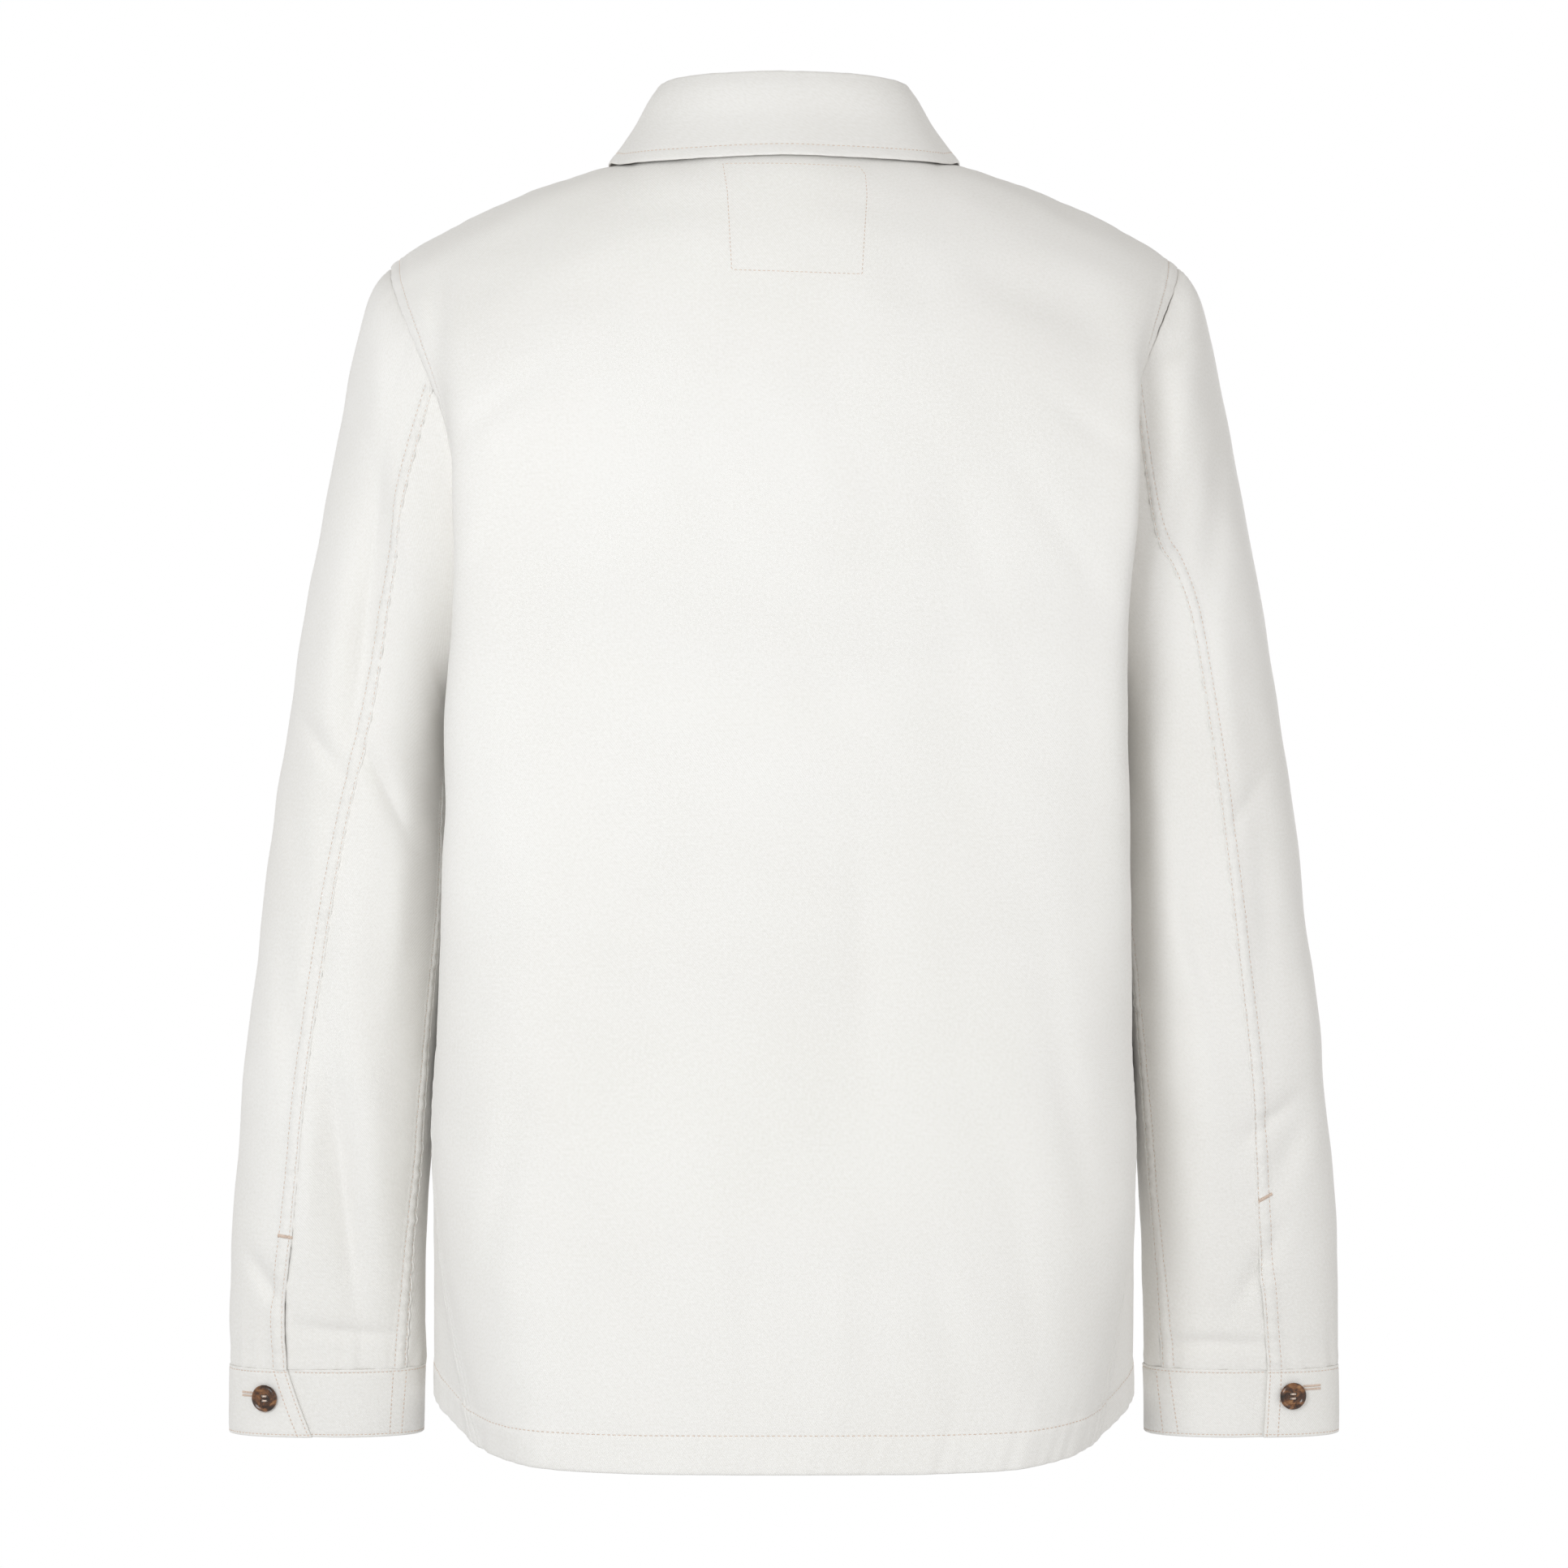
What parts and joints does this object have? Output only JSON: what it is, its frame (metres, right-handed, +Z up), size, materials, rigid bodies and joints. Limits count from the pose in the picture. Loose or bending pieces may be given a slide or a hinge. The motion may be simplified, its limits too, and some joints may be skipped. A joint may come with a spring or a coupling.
{
  "type": "field jacket",
  "caption": "Cotton twill field jacket, filled out as worn, with a fold-over collar, a buttoned front and long sleeves with buttoned cuffs.",
  "frame": {"origin": "middle of the wearer's neck, level with the neck seam at the centre back", "axes": "+Z up, -Y to the front of the jacket, +X to the wearer's left"},
  "size_m": [0.6199, 0.2698, 0.7524],
  "materials": {
    "twill": "matt cotton twill, off-white",
    "button": "polished resin with brown mottling"
  },
  "bodies": {
    "root": {"back": "twill", "front_left": "twill", "front_right": "twill", "collar_stand": "twill", "collar_leaf": "twill", "sleeve_upper_left": "twill", "sleeve_upper_right": "twill", "sleeve_under_left": "twill", "sleeve_under_right": "twill", "cuff_left": "twill", "cuff_right": "twill", "cuff_button_left": "button", "cuff_button_right": "button", "front_button_1": "button", "front_button_2": "button", "front_button_3": "button", "front_button_4": "button", "front_button_5": "button"}
  },
  "joints": []
}
